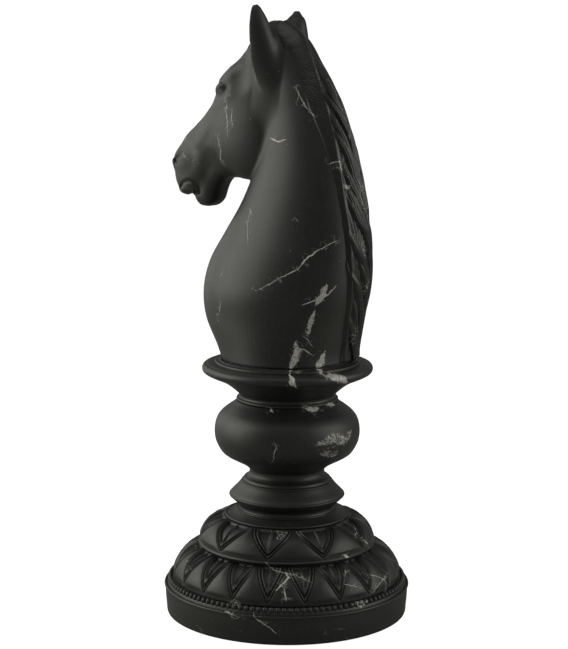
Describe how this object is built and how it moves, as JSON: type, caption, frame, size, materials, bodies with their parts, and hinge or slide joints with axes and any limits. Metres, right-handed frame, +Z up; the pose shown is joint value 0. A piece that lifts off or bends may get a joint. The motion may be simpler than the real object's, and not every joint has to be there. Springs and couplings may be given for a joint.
{
  "type": "giant chess piece",
  "caption": "Waist-high chess knight: stacked turned base with petal tiers, bead ring, bulb and collar under a screw-on horse head, ballasted and clamped by a tie rod.",
  "frame": {"origin": "centre of the round footprint, on the floor", "axes": "+Z up through the turned stack; the horse faces -Y, so its left side is +X"},
  "size_m": [0.44, 0.46, 1.077],
  "materials": {
    "marble_black": "satin black marble effect with thin white veins, cast resin",
    "rubber_black": "matte",
    "plywood": "raw birch plywood",
    "core_board": "turned disc, sealed",
    "dowel_wood": "raw beech",
    "zinc_screw": "zinc plated",
    "zinc_plate": "zinc plated plate",
    "rod_steel": "zinc plated thread",
    "plastic_black": "moulded",
    "plastic_white": "moulded",
    "foam_grey": "closed-cell foam",
    "sand": "dry sand"
  },
  "bodies": {
    "base": {"floor_ring": "rubber_black", "base_board": "plywood", "board_screws": "zinc_screw", "access_cap": "plastic_black", "filler_bush": "plastic_white", "ballast_fill": "sand", "plinth": "marble_black", "bead_ring": "marble_black", "lower_tier": "marble_black", "upper_tier": "marble_black", "waist_ring": "marble_black", "bulb": "marble_black", "collar": "marble_black", "neck_seat": "marble_black", "section_gaskets": "foam_grey", "locating_dowels": "dowel_wood", "tie_rod": "rod_steel", "spreader_plate": "zinc_plate", "lock_washer": "zinc_plate", "clamp_nut": "rod_steel", "top_washer": "zinc_plate", "top_nut": "rod_steel"},
    "neck_slip": {"slip_ring": "rubber_black"},
    "head": {"knight_head": "marble_black", "neck_core": "core_board", "anchor_plate": "zinc_plate", "rod_insert": "rod_steel", "anchor_screws": "zinc_screw"},
    "seal": {"plug_seal": "rubber_black"},
    "plug": {"filler_plug": "plastic_black"}
  },
  "joints": [
    {"name": "head_turn", "type": "hinge", "parent": "base", "child": "neck_slip", "pos_m": [0, 0, 0.46], "axis": [0, 0, 1], "range_deg": [0, 4325]},
    {"name": "head_lift", "type": "slide", "parent": "neck_slip", "child": "head", "axis": [0, 0, 1], "range_m": [0, 0.021]},
    {"name": "plug_travel", "type": "slide", "parent": "base", "child": "seal", "axis": [0, 0, -1], "range_m": [0, 0.015]},
    {"name": "plug_turn", "type": "hinge", "parent": "seal", "child": "plug", "pos_m": [0.09959, 0.0575, 0.008], "axis": [0, 0, -1], "range_deg": [0, 1805]}
  ],
  "couplings": [
    {"joint": "head_turn", "follows": "head_lift", "rad_per_m": 3590.4},
    {"joint": "plug_turn", "follows": "plug_travel", "rad_per_m": 2094.4}
  ]
}
